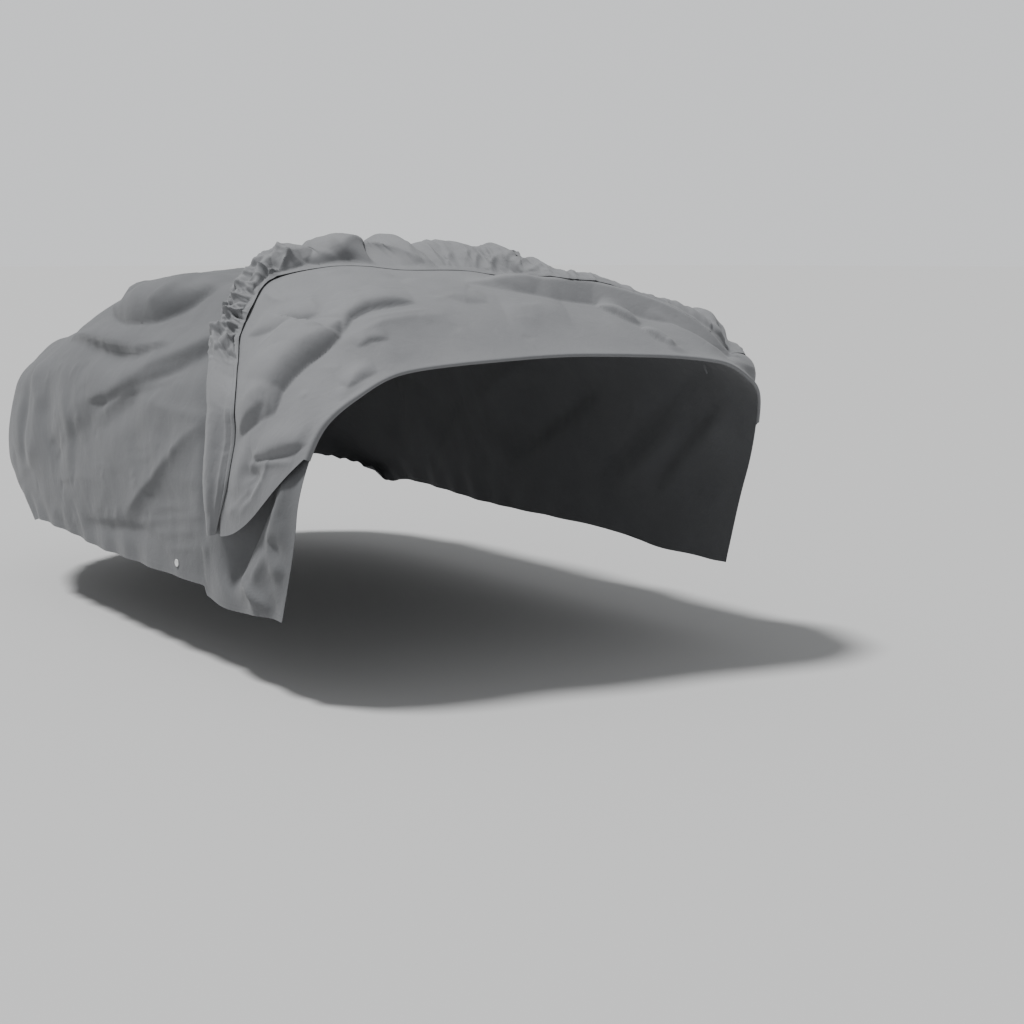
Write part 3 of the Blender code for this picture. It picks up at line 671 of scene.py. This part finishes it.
FLAP_EDGE = 0.69         # the turned-back front spans this much of each half of the cloth
HEM_REACH = 1.89         # metres of elastic edge per unit across the turned-back front
INNER_LIGHT = (0.186, 0.189, 0.196)    # the cloth is a little paler on its inner side
INNER_DARK = (0.152, 0.155, 0.162)
TURN_RADIUS = 0.0065     # half the gap at the front fold
CORNER_RADIUS = 0.012    # and at its right end, which hangs free
CORNER_PLACES = (-1.0, -0.55)    # from the end to where the fold has its own radius
FLAP_LIFT = 0.030        # turned-back front above the layer under it
FLAP_RISE = 0.3          # share of its depth over which it comes up to that
ROLL_SINK = (0.018, 0.88)    # how far it comes down to that layer at its roll, and from where
FLAP_FOLDS_FADE = (0.0, 0.12)     # its folds fade in over this share of its depth
FLAP_FACETS_FADE = (0.0, 0.2)     # and its facets over this
FLAP_RUN = 9             # its pattern starts at this many metres, so no stitched hem falls on it

# in thousandths; across: place at the front fold; roll and edge: places (along, across) of the hem
# roll and of its free elastic edge; radius: of the roll; lift: of the free edge above the layer
ROLL = np.array([
    # across, roll along, across, edge along, across, radius, lift
    (-1000, 838, -863, 845, -860, 10, 4),
    (-880, 836, -760, 868, -740, 17, 3),
    (-740, 826, -650, 862, -640, 21, 4),
    (-620, 788, -560, 824, -562, 20, 5),
    (-540, 762, -500, 795, -505, 18, 6),
    (-440, 750, -420, 783, -425, 15, 8),
    (-340, 736, -320, 768, -330, 18, 6),
    (-240, 735, -220, 784, -235, 31, 2),
    (-130, 745, -120, 835, -130, 31, 2),
    (0, 785, 0, 850, -5, 31, 2),
    (100, 820, 70, 880, 62, 26, 2),
    (200, 850, 140, 909, 125, 22, 2),
    (320, 860, 230, 912, 215, 18, 2),
    (440, 880, 325, 930, 308, 18, 2),
    (580, 912, 425, 962, 410, 30, 2),
    (720, 925, 540, 972, 530, 30, 2),
    (860, 920, 690, 960, 680, 20, 2),
    (1000, 900, 850, 912, 848, 10, 3),
]) / 1000

FLAP_FOLDS = (
    # right front corner: the long dark band with its crisp lower lip, the leaf above it
    ("lip", 68, 44, 150,
     ((925, -620), (906, -582), (904, -545), (906, -505), (911, -458), (913, -415), (905, -372))),
    ("lip", 32, 20, 100, ((918, -392), (903, -352), (899, -300), (903, -262), (910, -215))),
    ("crisp", 8, 12, 18, ((914, -340), (919, -297), (923, -260), (925, -205))),
    ("lip", 10, 9, 30, ((946, -395), (945, -354), (951, -315))),
    ("lip", 16, 14, 40, ((985, -500), (983, -440), (987, -395))),
    ("lip", 8, 10, 30, ((993, -540), (991, -491), (992, -450))),
    ("soft", 12, 55, 55, ((875, -520), (855, -430), (840, -360))),
    ("crisp", 12, 30, 30, ((930, -430), (928, -300), (935, -180))),
    # beside the hem roll on the right side
    ("slope", 17, 13, 50, ((874, -676), (888, -655), (899, -634), (909, -608))),
    ("lip", 29, 19, 70, ((910, -708), (935, -696), (960, -682), (1000, -655))),
    ("crisp", 12, 20, 14, ((905, -722), (935, -712), (985, -700))),
    ("soft", 16, 50, 50, ((880, -780), (900, -680), (905, -620))),
    ("soft", -10, 20, 30, ((890, -735), (925, -735), (915, -770), (880, -800))),
    ("crisp", 12, 24, 30, ((866, -812), (885, -798), (903, -775), (925, -745))),
    ("crisp", 10, 12, 26, ((945, -690), (938, -735), (920, -775), (895, -805))),
    # right part of the top
    ("soft", 14, 30, 30, ((800, -270), (815, -220), (850, -180))),
    ("crisp", 9, 14, 20, ((780, -378), (804, -397), (822, -394))),
    ("crisp", 9, 14, 20, ((782, -362), (806, -383), (826, -383))),
    ("crisp", 6, 10, 16, ((842, -362), (854, -369), (870, -380))),
    ("lip", 20, 30, 70, ((806, -505), (834, -463), (854, -434), (875, -380))),
    ("crisp", 10, 30, 40, ((832, -530), (856, -491), (874, -448))),
    ("lip", 18, 40, 80, ((862, -185), (878, -160), (896, -138), (913, -110), (922, -70))),
    ("lip", 12, 24, 60, ((884, -20), (901, 20), (915, 45))),
    # left part of the top, under the free edge
    ("slope", 60, 34, 90,
     ((880, -60), (903, 14), (914, 80), (920, 160), (934, 223), (950, 300), (970, 380),
      (986, 470))),
    ("lip", 30, 10, 30, ((930, 156), (943, 182), (960, 208))),
    ("lip", 24, 9, 30, ((964, 208), (977, 226), (990, 242))),
    ("lip", 14, 9, 26, ((984, 228), (992, 240), (999, 256))),
    ("crisp", 18, 22, 30, ((940, 250), (962, 300), (982, 350), (992, 430))),
    ("soft", 55, 110, 110, ((965, 480), (990, 580))),
    ("soft", 16, 90, 90, ((930, -50), (940, 80))),
    ("crisp", 12, 30, 50, ((960, 780), (930, 700), (945, 600))),
    ("lip", 24, 24, 70, ((990, 640), (955, 690), (945, 770))),
)
FLAP_STREWN = (
    # count, along from, to, across from, to, heading, spread, length, width, height
    (26, 0.80, 0.97, -0.75, -0.10, 40, 50, 0.12, 0.013, 0.0032),
    (16, 0.88, 0.98, -0.10, 0.30, 80, 40, 0.12, 0.014, 0.002),
    (14, 0.92, 0.99, 0.40, 0.80, 30, 60, 0.14, 0.014, 0.004),
)
FLAP_SEED = 5
FLAP_FACETS = (0.14, 0.0012, 9)    # cell, height, seed
FLAP_COLUMN_STOPS = ((-0.62, 60), (0.46, 250), (1.0, 50))
FLAP_TURN_ROWS = 8
FLAP_ROWS = 116


def turn_radius(spread):
    """Radius of the front fold at a place across it."""
    return CORNER_RADIUS + (TURN_RADIUS - CORNER_RADIUS) * smooth_step(spread, *CORNER_PLACES)


def front_fold(turn, across):
    """The tight turn of the cloth at the front edge; turn 0 to 1."""
    along = np.ones(len(across))
    forward, normal = frame_at(along, across)
    radius = turn_radius(across / FLAP_EDGE)
    angle = math.pi * turn
    return (body(along, across) + normal * (radius * (1 - np.cos(angle)))[:, None]
            + forward * (radius * np.sin(angle))[:, None])


def flap_places(share, across):
    """Places (along, across) and height of the turned-back front; share 0 at the fold, 1 at the roll."""
    spread = across / FLAP_EDGE
    roll = monotone(ROLL[:, 0], ROLL[:, 1:], spread)
    along = 1 + (roll[:, 0] - 1) * share
    place = across + (roll[:, 1] - across) * np.sin(share * math.pi / 2)
    rise = 2 * turn_radius(spread)
    lift = rise + (FLAP_LIFT - rise) * smooth_step(share, 0, FLAP_RISE)
    lift -= ROLL_SINK[0] * smooth_step(share, ROLL_SINK[1], 1.0)
    return along, place, lift, roll, spread


flap_folds = read_folds(FLAP_FOLDS) + strewn_folds(FLAP_STREWN, FLAP_SEED)


def flap_layer(share, across):
    """The turned-back front with its folds."""
    along, place, lift, _, _ = flap_places(share, across)
    points = body(along, place)
    _, normal = frame_at(along, place)
    lift = lift + fold_height(flap_folds, points, normal) * smooth_step(share, *FLAP_FOLDS_FADE)
    crumple = facets(across * ACROSS_REACH, along * ALONG_REACH, *FLAP_FACETS)
    lift += crumple * smooth_step(share, *FLAP_FACETS_FADE)
    return points + normal * lift[:, None]


def rows_through(layer, stages, across):
    """One row of the layer's places for each stage, from fold to roll or round a turn."""
    return [layer(np.full(len(across), stage), across) for stage in stages]


def run_of(places):
    """Mean distance along the cloth from the first row of places to each row."""
    steps = np.linalg.norm(np.diff(places, axis=0), axis=2).mean(axis=1)
    return np.concatenate([[0], np.cumsum(steps)])


flap_across = spaced(-1.0, FLAP_COLUMN_STOPS) * FLAP_EDGE
flap_grid = np.array(rows_through(front_fold, np.linspace(0, 1, FLAP_TURN_ROWS + 1), flap_across)
                     + rows_through(flap_layer, np.linspace(0, 1, FLAP_ROWS + 1)[1:], flap_across))
flap_run = FLAP_RUN + run_of(flap_grid)
flat = np.stack(np.broadcast_arrays(flap_across * ACROSS_REACH, flap_run[:, None]), axis=-1)
cover_front = sheet_mesh("cover_turned_front", flap_grid, flat)
thicken(cover_front, CLOTH)
pale_cloth = cloth_finish("grey_nonwoven_inner", INNER_LIGHT, INNER_DARK, HEM_REACH)
cover_front.data.materials.append(pale_cloth)
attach(cover_front, "root")
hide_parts("cover_cloth")

# ==== the gathered front hem =================================================================
# The elastic front hem of the same cloth. It rolls over behind the turned-back front and comes
# forward again as a puffed and gathered band with a free edge.

HEM_TURN = 0.09          # metres of cloth round the roll
HEM_DEPTH = 0.22         # metres of cloth from the start of the roll to the free edge
CASING = (0.88, 0.0026)  # the elastic's casing: where it starts on the band, how far it stands out
ROLL_LEAN = 0.25         # unevenness of how far the roll reaches back
ROLL_LEAN_WAVE = 5
ROLL_LEAST = 0.005       # smallest radius of the roll

# puffs of the roll, in thousandths: place across the turned-back front, extra height
PUFFS = np.array([
    (-1000, 0), (-600, -4), (-480, -18), (-400, -17), (-350, -1), (-320, 26), (-300, 19),
    (-275, 23), (-240, -12), (-215, 17), (-200, 16), (-170, -35), (-145, -34), (-118, -22),
    (-95, 6), (-75, 28), (-55, -9), (-35, -28), (-20, -32), (0, -6), (20, 3), (50, 4), (75, -1),
    (95, 9), (108, 20), (118, 28), (126, 12), (134, 7), (145, 1), (155, -12), (172, -12),
    (195, 12), (225, -8), (270, -34), (330, -3), (370, -1), (388, -50), (396, -54), (410, -50),
    (430, -41), (455, -37), (500, -18), (560, -10), (610, 52), (660, 53), (700, 18), (760, 10),
    (880, 0), (1000, 0),
]) / 1000
# place across, share of the band's width over which it stays level before it falls to its edge
BAND_TOP = np.array([(-1.00, 0.15), (-0.28, 0.15), (-0.25, 0.22), (-0.20, 0.30), (-0.11, 0.30),
                     (-0.07, 0.22), (-0.03, 0.15), (1.00, 0.15)])
# folds of the band, as on the other layers; places are (across, length of cloth from the roll's start)
HEM_FOLDS = (
    # the plain strip down the right side
    ("crisp", 9, 26, 10, ((-660, 185), (-800, 184), (-890, 174), (-970, 165))),
    ("soft", 10, 30, 30, ((-620, 120), (-800, 115), (-960, 110))),
    # the steep stretch up to the top, crest above crest
    ("slope", 20, 10, 34, ((-612, 120), (-587, 174), (-565, 210))),
    ("slope", 26, 12, 34, ((-575, 85), (-554, 157), (-520, 205))),
    ("slope", 24, 12, 34, ((-518, 100), (-504, 127), (-481, 161), (-452, 205))),
    ("slope", 26, 12, 34, ((-472, 110), (-461, 154), (-445, 184), (-425, 215))),
    ("slope", 26, 12, 34, ((-420, 110), (-412, 151), (-410, 191), (-400, 230))),
    ("crisp", 14, 10, 14, ((-390, 135), (-365, 170), (-322, 154))),
    ("lip", 26, 12, 30, ((-400, 205), (-357, 192), (-318, 162))),
    ("crisp", 12, 12, 18, ((-345, 110), (-300, 137), (-262, 120))),
    # puffs over the top, each with a dark front
    ("crisp", 12, 5, 5,
     ((-367, 218), (-340, 206), (-314, 194), (-297, 180), (-280, 164), (-274, 148))),
    ("slope", 36, 18, 40, ((-312, 204), (-292, 194), (-270, 183), (-245, 170))),
    ("lip", 42, 18, 50, ((-268, 188), (-240, 190), (-214, 197), (-186, 196), (-164, 192))),
    ("slope", 56, 24, 40,
     ((-210, 214), (-186, 190), (-162, 176), (-130, 176), (-104, 190), (-80, 206))),
    ("crisp", 10, 6, 5,
     ((-206, 190), (-190, 172), (-174, 157), (-133, 149), (-108, 164), (-88, 182))),
    ("crisp", 9, 6, 8, ((-70, 145), (-75, 162), (-86, 184))),
    ("lip", 20, 14, 40, ((-100, 200), (-80, 206), (-55, 204))),
    ("slope", 40, 18, 40, ((-40, 208), (-34, 184), (-21, 157), (-6, 122), (4, 90))),
    ("crisp", 12, 12, 6, ((-40, 212), (-3, 167), (14, 148))),
    ("crisp", 12, 12, 6, ((1, 204), (32, 164), (54, 136))),
    ("crisp", 13, 12, 6, ((26, 204), (52, 164), (68, 142))),
    ("crisp", 18, 16, 8, ((48, 208), (81, 167), (112, 138))),
    ("crisp", 22, 20, 9, ((86, 200), (117, 154), (164, 92))),
    ("crisp", 20, 18, 9, ((104, 204), (140, 157), (176, 112))),
    ("crisp", 18, 18, 9, ((120, 222), (154, 181), (194, 132))),
    # left part: a step down, then a broad puff with a dark foot
    ("lip", 16, 16, 40, ((215, 190), (260, 180), (330, 195))),
    ("lip", 28, 18, 26, ((400, 205), (467, 180), (530, 190), (600, 205), (680, 212))),
)
# gathers strewn along the hem
HEM_GATHERS = (
    # across from, to, spacing, height, width, lean: metres along the hem from the roll to the edge
    (-0.64, -0.30, 0.055, 0.014, 0.010, 0.080),
    (-0.30, -0.04, 0.090, 0.003, 0.014, -0.060),
    (-0.03, 0.17, 0.036, 0.008, 0.007, -0.090),
    (0.15, 0.30, 0.050, 0.010, 0.011, -0.100),
    (0.30, 0.52, 0.070, 0.007, 0.014, -0.090),
    (0.50, 0.95, 0.120, 0.009, 0.024, -0.060),
    (0.14, 0.95, 0.045, 0.003, 0.009, -0.030),
)
HEM_SEED = 21
HEM_FACETS = ((0.055, 0.0036, 4), (0.026, 0.0018, 8))    # cell, height, seed
FACET_LIFT = 0.3         # facets stand out by this share of their height
ROLL_FADE = (0.01, 0.07)      # gathers and facets fade in over these metres of the roll
EDGE_FADE = 0.195        # and fade to their share at the free edge from here
# place across, how strong the facets are there
CRUMPLE = np.array([(-1.00, 0.4), (-0.66, 0.4), (-0.60, 4.5), (-0.32, 4.5), (-0.27, 0.6),
                    (-0.05, 0.6), (0.03, 1.2), (1.00, 1.0)])
# place across, share of the gathers and facets that is left at the free edge
EDGE_CALM = np.array([(-1.00, 0.3), (-0.66, 0.3), (-0.60, 0.2), (-0.33, 0.15), (-0.27, 0.05),
                      (0.03, 0.05), (0.06, 0.4), (0.30, 0.3), (0.55, 0.25), (1.00, 0.2)])
HEM_COLUMN_STOPS = ((-0.64, 90), (0.50, 560), (1.0, 110))
ROLL_ROWS = 14
BAND_ROW_STOPS = ((0.88, 34), (1.0, 6))


def hem_roll(turn, across):
    """The rolled hem at the back of the turned-back front; turn 0 to 1."""
    ones = np.ones(len(across))
    along, place, _, roll, spread = flap_places(ones, across)
    start = flap_layer(ones, across)
    forward, normal = frame_at(along, place)
    radius = roll[:, 4] + (monotone(PUFFS[:, 0], PUFFS[:, 1:], spread)[:, 0] + ROLL_SINK[0]) / 2
    radius = np.maximum(radius, ROLL_LEAST)
    angle = math.pi * turn
    lean = 1 + ROLL_LEAN * np.sin(ROLL_LEAN_WAVE * spread)
    return (start + normal * (radius * (1 - np.cos(angle)))[:, None]
            - forward * (radius * lean * np.sin(angle))[:, None])


def hem_band(share, across):
    """The band from the top of the roll forward to the free elastic edge, without its gathers."""
    ones = np.ones(len(across))
    _, _, _, roll, _ = flap_places(ones, across)
    start = hem_roll(ones, across)
    end_base = body(roll[:, 2], roll[:, 3])
    _, end_normal = frame_at(roll[:, 2], roll[:, 3])
    end_lift = FLAP_LIFT + roll[:, 5] + fold_height(flap_folds, end_base, end_normal)
    end = end_base + end_normal * end_lift[:, None]
    _, start_normal = frame_at(roll[:, 0], roll[:, 1])
    straight = start + (end - start) * share[:, None]
    normal = unit(start_normal + (end_normal - start_normal) * share[:, None])
    height = np.sum((start - end) * normal, axis=1)
    casing = CASING[1] * np.sin(math.pi * np.clip((share - CASING[0]) / (1 - CASING[0]), 0, 1))
    level = np.interp(across / FLAP_EDGE, BAND_TOP[:, 0], BAND_TOP[:, 1])
    bulge = height * (share - smooth_step(share, level, 1.0)) + casing
    return straight + normal * bulge[:, None]


def on_hem(across, depth):
    """Places on the flat hem, in metres."""
    return np.stack([across * HEM_REACH, depth, 0 * depth], axis=1)


def strewn_gathers(zones, seed):
    """Gathers at uneven distances, each a crisp ridge over the band, some crossed by a short one."""
    dice = np.random.default_rng(seed)
    folds = []
    for low, high, spacing, height, width, lean in zones:
        place = low * HEM_REACH
        while place < high * HEM_REACH:
            place += spacing * dice.uniform(0.5, 1.5)
            shift = lean * dice.uniform(0.2, 1.6) + spacing * dice.uniform(-0.4, 0.4)
            top = dice.uniform(0.035, 0.10)
            end = HEM_DEPTH * dice.uniform(0.95, 1.30)
            wide = width * dice.uniform(0.6, 1.5)
            rise = height * dice.uniform(0.35, 1.25)
            middle = (place + shift * dice.uniform(0.1, 0.6), (top + end) / 2)
            line = np.array([(place / HEM_REACH, top), (middle[0] / HEM_REACH, middle[1]),
                             ((place + shift) / HEM_REACH, end)])
            folds.append((dice.choice(("crisp", "crisp", "brow")), rise, wide,
                          wide * dice.uniform(0.6, 2.0), line))
            if dice.random() < 0.3:
                reach = spacing * dice.uniform(0.5, 1.1) / HEM_REACH
                slope = dice.uniform(-0.02, 0.02)
                line = np.array([(middle[0] / HEM_REACH - reach / 2, middle[1] - slope),
                                 (middle[0] / HEM_REACH + reach / 2, middle[1] + slope)])
                folds.append(("crisp", rise * 0.5, wide * 0.8, wide * 0.9, line))
    return folds


hem_across = spaced(-1.0, HEM_COLUMN_STOPS) * FLAP_EDGE
roll_turns = np.linspace(0, 1, ROLL_ROWS + 1)
band_shares = spaced(0.0, BAND_ROW_STOPS)[1:]
hem_grid = np.array(rows_through(hem_roll, roll_turns, hem_across)
                    + rows_through(hem_band, band_shares, hem_across))
hem_depths = np.concatenate([roll_turns * HEM_TURN, HEM_TURN + band_shares * (HEM_DEPTH - HEM_TURN)])
hem_normals = unit(np.cross(np.gradient(hem_grid, axis=0), np.gradient(hem_grid, axis=1)))
hem_spots, hem_depth_grid = np.meshgrid(hem_across / FLAP_EDGE, hem_depths)
hem_flat = on_hem(hem_spots.ravel(), hem_depth_grid.ravel())
facing = np.tile((0.0, 0.0, -1.0), (len(hem_flat), 1))
hem_folds = read_folds(HEM_FOLDS) + strewn_gathers(HEM_GATHERS, HEM_SEED)
gathers = fold_height(hem_folds, hem_flat, facing, on_hem)
crumpled = np.interp(hem_spots.ravel(), CRUMPLE[:, 0], CRUMPLE[:, 1])
for cell, height, seed in HEM_FACETS:
    crumple = facets(hem_flat[:, 0], hem_flat[:, 1], cell, height, seed)
    gathers += crumpled * (crumple + FACET_LIFT * height)
left_over = np.interp(hem_spots.ravel(), EDGE_CALM[:, 0], EDGE_CALM[:, 1])
left_over += (1 - left_over) * smooth_step(-hem_flat[:, 1], -HEM_DEPTH, -EDGE_FADE)
gathers *= left_over * smooth_step(hem_flat[:, 1], *ROLL_FADE)
gathers = gathers.reshape(hem_spots.shape)
hem_grid = hem_grid + hem_normals * gathers[:, :, None]
hem_run = run_of(hem_grid)
hem_left = (hem_run[-1] - hem_run)[:, None]
flat = np.stack(np.broadcast_arrays(hem_across / FLAP_EDGE * HEM_REACH, hem_left), axis=-1)
cover_hem = sheet_mesh("cover_front_hem", hem_grid, flat)
thicken(cover_hem, CLOTH)
cover_hem.data.materials.append(pale_cloth)
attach(cover_hem, "root")
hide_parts("cover_cloth")

# ==== eyelets ================================================================================
# Round pale plastic eyelet heads, one in each side hem, pressed through the cloth. The hole of each
# is closed.

EYELET_RADIUS = 0.014
EYELET_HEIGHT = 0.0032
EYELET_RIM = 0.007
EYELET_SINK = 0.0016
EYELET_PLACE = (0.736, 0.967)    # along and across the cloth
EYELET_GAP = 0.0004
EYELET_PROBES = ((0, 0), (0.003, 0), (0, 0.006))    # its middle and two neighbours on the cloth
EYELET_SIDES = 40
EYELET_BEVEL = (EYELET_HEIGHT / 4, 3)    # width, segments
EYELET_SMOOTH_ANGLE = 40
EYELET_COLOR = (0.66, 0.67, 0.66)
EYELET_GRAIN = {"Scale": 300.0, "Detail": 3.0}
EYELET_ROUGHNESS = (0.38, 0.16)    # least, and what the grain adds

pale_plastic, plastic_shader = new_finish("pale_plastic")
tree = pale_plastic.node_tree
where = node(tree, "ShaderNodeTexCoord", {}, output="Object")
grain = node(tree, "ShaderNodeTexNoise", {}, Vector=where, **EYELET_GRAIN)
rough = EYELET_ROUGHNESS[0] + grain * EYELET_ROUGHNESS[1]
tree.links.new(rough.output, plastic_shader.inputs["Roughness"])
plastic_shader.inputs["Base Color"].default_value = (*EYELET_COLOR, 1)

for side, mirror in (("right", -1), ("left", 1)):
    # the probes on the finished cloth give the spot and the way it faces
    spots = np.array(EYELET_PROBES) + EYELET_PLACE
    middle, ahead, outward = body_layer(spots[:, 0], spots[:, 1] * mirror)
    facing = unit(np.cross(ahead - middle, outward - middle)) * mirror
    spot = middle + facing * (CLOTH / 2 + EYELET_GAP + EYELET_HEIGHT / 2)
    bpy.ops.object.select_all(action="DESELECT")
    bpy.ops.mesh.primitive_cylinder_add(vertices=EYELET_SIDES, radius=EYELET_RADIUS, depth=EYELET_HEIGHT)
    eyelet = bpy.context.object
    eyelet.name = f"eyelet_{side}_head"
    bpy.ops.object.mode_set(mode="EDIT")
    bpy.ops.mesh.select_all(action="DESELECT")
    head = bmesh.from_edit_mesh(eyelet.data)
    for face in head.faces:
        face.select = face.normal.z > 0.9
    bmesh.update_edit_mesh(eyelet.data)
    bpy.ops.mesh.inset(thickness=EYELET_RIM, depth=0)
    bpy.ops.transform.translate(value=(0, 0, -EYELET_SINK))
    bpy.ops.object.mode_set(mode="OBJECT")
    rounded = eyelet.modifiers.new("rounded", "BEVEL")
    rounded.width, rounded.segments = EYELET_BEVEL
    bpy.ops.object.modifier_apply(modifier=rounded.name)
    bpy.ops.object.shade_smooth_by_angle(angle=math.radians(EYELET_SMOOTH_ANGLE))
    eyelet.location = spot
    eyelet.rotation_euler = Vector(facing).to_track_quat("Z", "Y").to_euler()
    bpy.ops.object.transform_apply(location=True, rotation=True, scale=True)
    eyelet.data.materials.append(pale_plastic)
    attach(eyelet, "root")
    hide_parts(f"eyelet_{side}")
